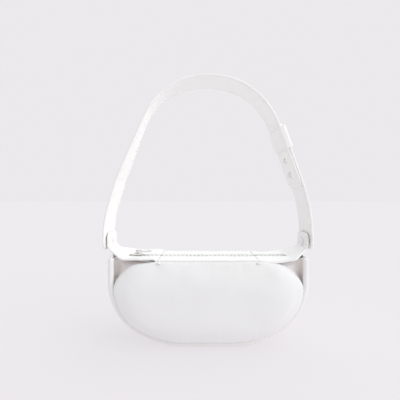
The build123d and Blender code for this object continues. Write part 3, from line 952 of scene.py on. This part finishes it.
def tooth(builder, x, side):
    """A moulded zip tooth: a foot clamped on the tape and a rounded head over the slit."""
    slit = -TEETH_HIGH.y - TOOTH_CREEP
    deep = TEETH_HIGH.y - TEETH_LOW.y + TOOTH_CREEP
    floor = TEETH_LOW.z
    tall = TEETH_HIGH.z - TEETH_LOW.z
    rings = []
    for share, length, height in (
        (0.0, 1.5, 0.55),
        (0.06, 2.5, 0.85),
        (0.3, 2.9, 1.0),
        (0.5, 2.2, 0.95),
        (0.62, 2.1, 0.9),
        (0.8, 2.6, 0.85),
        (0.94, 2.3, 0.7),
        (1.0, 1.6, 0.45),
    ):
        y = side * (slit + deep * share)
        ring = []
        for k in range(10):
            angle = math.tau * k / 10
            wide = length / 2 * math.copysign(abs(math.cos(angle)) ** 0.6, math.cos(angle))
            high = tall * height / 2 * math.copysign(abs(math.sin(angle)) ** 0.6, math.sin(angle))
            ring.append(Vector((x + wide, y, floor + tall / 2 + high)))
        rings.append(ring)
    builder.loft(rings)


TOOTH_PITCH = 4.0


def teeth_row(builder, low, high, side):
    """A row of teeth; the two rows are half a pitch apart, as they mesh."""
    count = int((high - low) / TOOTH_PITCH)
    first = (low + high - (count - 1 - side * 0.5) * TOOTH_PITCH) / 2
    for i in range(count):
        tooth(builder, first + i * TOOTH_PITCH, side)


def make_teeth():
    for name, side in (("front", -1), ("back", 1)):
        row = Builder()
        teeth_row(row, 1 - MOUTH_HALF, MOUTH_HALF - 1, side)
        place(row.make(f"{name}_teeth", TEETH), f"{name}_flap", "zip_plastic", f"{name}_zip_teeth")
    tails = Builder()
    for side in (-1, 1):
        teeth_row(tails, TAIL_LOW.x + 1, STOP_X - 1, side)
        teeth_row(tails, 1 - STOP_X, -TAIL_LOW.x - 1, side)
    place(tails.make("tail_teeth", TEETH), "basket", "zip_plastic", "zip_tail_teeth")


# ---- handle ----
def arch_radius(span):
    """The top arc's radius, so that straight legs join it to the shoulder arcs."""
    lean = math.radians(LEG_LEAN)
    across = span - SHOULDER_RADIUS * (1 - math.cos(lean))
    down = HANDLE_TOP - SHOULDER_Z - SHOULDER_RADIUS * math.sin(lean)
    share = math.cos(lean) ** 2 - math.sin(lean) * (1 - math.sin(lean))
    return (across * math.cos(lean) - down * math.sin(lean)) / share


def arch_side(span, offset):
    """The right half of the arch, from its top down to its foot."""
    radius = arch_radius(span)
    line = arc((0, HANDLE_TOP - radius), radius + offset, 90, LEG_LEAN)
    line += arc((span - SHOULDER_RADIUS, SHOULDER_Z), SHOULDER_RADIUS + offset, LEG_LEAN, 0)
    line.append((span + offset, STRAP_FOOT))
    return line


def leg_frame(distance, offset):
    """A place on the right leg: its point, the outward and the upward direction."""
    lean = math.radians(LEG_LEAN)
    radius = arch_radius(RIGHT_SPAN)
    out = Vector((math.cos(lean), 0, math.sin(lean)))
    up = Vector((-math.sin(lean), 0, math.cos(lean)))
    top = Vector((0, 0, HANDLE_TOP - radius)) + out * (radius + offset)
    return top - up * distance, out, up


def cut_below(line, level):
    """Keeps the part of a downward line above a level."""
    kept = [p for p in line if p[1] > level]
    a, b = Vector(line[len(kept) - 1]), Vector(line[len(kept)])
    return kept + [tuple(a.lerp(b, (a.y - level) / (a.y - b.y)))]


def cut_above(line, level):
    """Keeps the part of a downward line below a level."""
    upside = cut_below([(x, -z) for x, z in reversed(line)], -level)
    return [(x, -z) for x, z in reversed(upside)]


TIP_ROUND = 6.5
STRAP_SEAM_IN = 2.4


def strap_frames(line, count, twist):
    """Stations along a strap: place, across and outward directions, and distance to the ends."""
    points = even(line, count)
    normals = normals_2d(points)
    total = line_length(points)
    frames = []
    for i, (point, left) in enumerate(zip(points, normals)):
        out = Vector((left.x, 0, left.y))
        along = Vector((left.y, 0, -left.x))
        turn = Matrix.Rotation(math.radians(twist(point)), 3, along)
        run = total * i / (count - 1)
        frames.append((at(point, 0), turn @ Vector((0, 1, 0)), turn @ out, min(run, total - run)))
    return frames


def strap_point(station, across, up, wobble):
    spot, side, out, run = station
    half = STRAP_HALF
    if run < TIP_ROUND:
        half -= TIP_ROUND - math.sqrt(TIP_ROUND**2 - (TIP_ROUND - run) ** 2)
    wave = wobble * noise.noise(Vector((spot.x * 0.03, across * 0.05, spot.z * 0.03)))
    return spot + side * (across * half / STRAP_HALF) + out * (up + wave)


def make_strap(name, line, count, twist, wobble, node):
    frames = strap_frames(line, count, twist)
    section = flat_section(STRAP_HALF, STRAP_THICK, 14)
    rings = [[strap_point(f, across, up, wobble) for across, up in section] for f in frames]
    place(lofted(name, rings, LIT_STRAP_LEATHER), "handle", "strap_leather", node)
    seams = Builder()
    inner = [f for f in frames if f[3] > STRAP_SEAM_IN]
    for up in (-STRAP_THICK / 2, STRAP_THICK / 2):
        for across in (STRAP_SEAM_IN - STRAP_HALF, STRAP_HALF - STRAP_SEAM_IN):
            line = [strap_point(f, across, up, wobble) for f in inner]
            stitch_line(seams, line, [f[2] * math.copysign(1, up) for f in inner])
    place(seams.make(f"{name}_stitches", THREAD), "handle", "strap_leather")


def left_twist(point):
    """The soft strap turns a few degrees on its left shoulder."""
    return 5.4 * hump(point.y, 210, 34) * ease(-point.x, 0, 40)


def left_sag(z):
    """How far the soft strap leans in on its left side."""
    return 3.6 * hump(z, 208, 26) + 2.0 * hump(z, 142, 20)


def make_straps():
    left = [(x + left_sag(z), z) for x, z in mirrored(arch_side(LEFT_SPAN, 0))]
    right = cut_below(arch_side(RIGHT_SPAN, 0), LONG_TIP_Z)
    make_strap("strap_over_top", left + right[1:], 300, left_twist, 0.5, "long_strap")
    outer = cut_above(arch_side(RIGHT_SPAN, LAYER_STEP), SHORT_TIP_Z)
    make_strap("strap_right_foot", outer, 110, lambda point: 0.0, 0.0, "short_strap")


def make_keeper():
    """The loop round both strap layers."""
    length = 22.0
    middle, out, up = leg_frame(3.0 + length / 2, LAYER_STEP / 2)
    thick = 1.4
    half_out = (LAYER_STEP + STRAP_THICK) / 2 + 0.2 + thick / 2
    half_side = STRAP_HALF + 0.2 + thick / 2
    corner = 1.4
    path = []
    for sx, sy, start in ((1, 1, 0), (-1, 1, 90), (-1, -1, 180), (1, -1, 270)):
        for k in range(7):
            angle = math.radians(start + 15 * k)
            x = sx * (half_out - corner) + corner * math.cos(angle)
            y = sy * (half_side - corner) + corner * math.sin(angle)
            path.append(Vector((x, y)))
    path = even(path, 96, closed=True)
    normals = normals_2d(path, closed=True)
    section = flat_section(length / 2, thick, 6)
    rings = []
    for point, inward in zip(path, normals):
        spot = middle + out * point.x + Vector((0, point.y, 0))
        face = -(out * inward.x + Vector((0, inward.y, 0)))
        rings.append([spot + up * a + face * u for a, u in section])
    loop = lofted("keeper_loop", rings, LIT_STRAP_LEATHER, closed=True)
    place(loop, "handle", "strap_leather", "strap_keeper")
    seams = Builder()
    seam_up, seam_out = length / 2 - 1.8, half_out + thick / 2
    for face in (-1, 1):
        for edge in (-1, 1):
            level = middle + up * (edge * seam_up) + out * (face * seam_out)
            line = [level + Vector((0, y, 0)) for y in range(-17, 18)]
            stitch_line(seams, line, [out * face] * len(line))
    place(seams.make("keeper_stitches", THREAD), "handle", "strap_leather")


# ---- pieces that the frame already has the right shape for ----
HARD_NODES = {
    METAL: (
        "zip_slider",
        "zip_puller",
        "puller_pin",
        "left_zip_stop",
        "right_zip_stop",
        "panel_rivets",
        "rivet_burrs",
        "strap_studs",
        "strap_stud_screws",
    ),
    LACQUER: ("left_pivot_rivet", "right_pivot_rivet", "left_pivot_cap", "right_pivot_cap"),
    WASHER: ("left_pivot_washer", "right_pivot_washer"),
}


def dress_hard_nodes():
    for material, nodes in HARD_NODES.items():
        for node in nodes:
            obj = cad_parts[node]
            obj.data.materials.clear()
            obj.data.materials.append(material)
            bevel = obj.modifiers.new("edge", "BEVEL")
            bevel.width = 0.18 * MM
            bevel.segments = 2
            bevel.limit_method = "ANGLE"
            bevel.angle_limit = math.radians(40)


def make_object():
    make_gusset()
    make_gusset_lining()
    make_board()
    for name, side in (("front", -1), ("back", 1)):
        make_panel(name, side)
        make_panel_lining(name, side)
        make_piping(name, side)
        make_facing(name, side)
        make_tape(name, side)
        for hand, way in (("left", -1), ("right", 1)):
            make_fold(f"{name}_{hand}", side, way)
    seams = Builder()
    for hand, way in (("left", -1), ("right", 1)):
        make_patch(hand, way)
        make_tail(hand, way)
        patch_stitches(way, seams)
    place(seams.make("band_stitches", THREAD), "basket", "band_leather")
    make_teeth()
    make_straps()
    make_keeper()
    dress_hard_nodes()


# ---- studio ----
BACKDROP = (0.839, 0.815, 0.839)
FLOOR_TONE = (0.234, 0.226, 0.232)
FLOOR_GLOW = 0.72


def make_floor():
    mesh = bpy.data.meshes.new("floor")
    far = 40.0
    corners = [(-far, -far, 0), (far, -far, 0), (far, far, 0), (-far, far, 0)]
    mesh.from_pydata(corners, [], [(0, 1, 2, 3)])
    floor = bpy.data.objects.new("floor", mesh)
    bpy.context.scene.collection.objects.link(floor)
    material, _, shader = new_material("floor", FLOOR_TONE, 0.9)
    shader.inputs["Specular IOR Level"].default_value = 0.0
    shader.inputs["Emission Color"].default_value = (*BACKDROP, 1)
    shader.inputs["Emission Strength"].default_value = FLOOR_GLOW
    mesh.materials.append(material)


# How strong the soft light is: from the left to the right, front to back, and low to high.
LIGHT_RANGES = {"X": (0.44, 1.40), "Y": (0.78, 1.22), "Z": (0.92, 1.20)}


def make_world():
    """Soft light, stronger from the right, the back and above; behind it, one plain tone."""
    world = bpy.data.worlds.new("studio")
    bpy.context.scene.world = world
    world.use_nodes = True
    tree = world.node_tree
    tree.nodes.clear()
    direction = add(tree, "ShaderNodeTexCoord").outputs["Generated"]
    split = add(tree, "ShaderNodeSeparateXYZ")
    tree.links.new(direction, split.inputs[0])
    level = None
    for axis, (least, most) in LIGHT_RANGES.items():
        ends = {"From_Min": -1.0, "From_Max": 1.0, "To_Min": least, "To_Max": most}
        share = add(tree, "ShaderNodeMapRange", **ends)
        tree.links.new(split.outputs[axis], share.inputs["Value"])
        product = share
        if level:
            product = add(tree, "ShaderNodeMath", operation="MULTIPLY")
            tree.links.new(level.outputs[0], product.inputs[0])
            tree.links.new(share.outputs[0], product.inputs[1])
        level = product
    light = add(tree, "ShaderNodeBackground")
    light.inputs["Color"].default_value = (0.975, 0.985, 1.0, 1)
    tree.links.new(level.outputs[0], light.inputs["Strength"])
    seen = add(tree, "ShaderNodeBackground")
    seen.inputs["Color"].default_value = (*BACKDROP, 1)
    eye = add(tree, "ShaderNodeLightPath").outputs["Is Camera Ray"]
    mix = add(tree, "ShaderNodeMixShader")
    tree.links.new(eye, mix.inputs[0])
    tree.links.new(light.outputs[0], mix.inputs[1])
    tree.links.new(seen.outputs[0], mix.inputs[2])
    out = add(tree, "ShaderNodeOutputWorld")
    tree.links.new(mix.outputs[0], out.inputs["Surface"])


def add_sun(name, strength, angle, direction, colour):
    data = bpy.data.lights.new(name, "SUN")
    data.energy = strength
    data.angle = math.radians(angle)
    data.color = colour
    obj = bpy.data.objects.new(name, data)
    obj.rotation_euler = Vector(direction).to_track_quat("-Z", "Y").to_euler()
    bpy.context.scene.collection.objects.link(obj)


def make_camera():
    data = bpy.data.cameras.new("camera")
    data.lens = 28.8
    data.sensor_width = 36.0
    data.clip_start = 0.01
    camera = bpy.data.objects.new("camera", data)
    camera.location = (-0.0075, -0.320, 0.133)
    camera.rotation_euler = (math.radians(90), 0, 0)
    bpy.context.scene.collection.objects.link(camera)
    bpy.context.scene.camera = camera


make_camera()
make_object()
make_floor()
make_world()
add_sun("key", 0.34, 50, (-0.80, 0.42, -0.5), (1.0, 0.99, 0.97))
bpy.context.scene.view_settings.view_transform = "Standard"
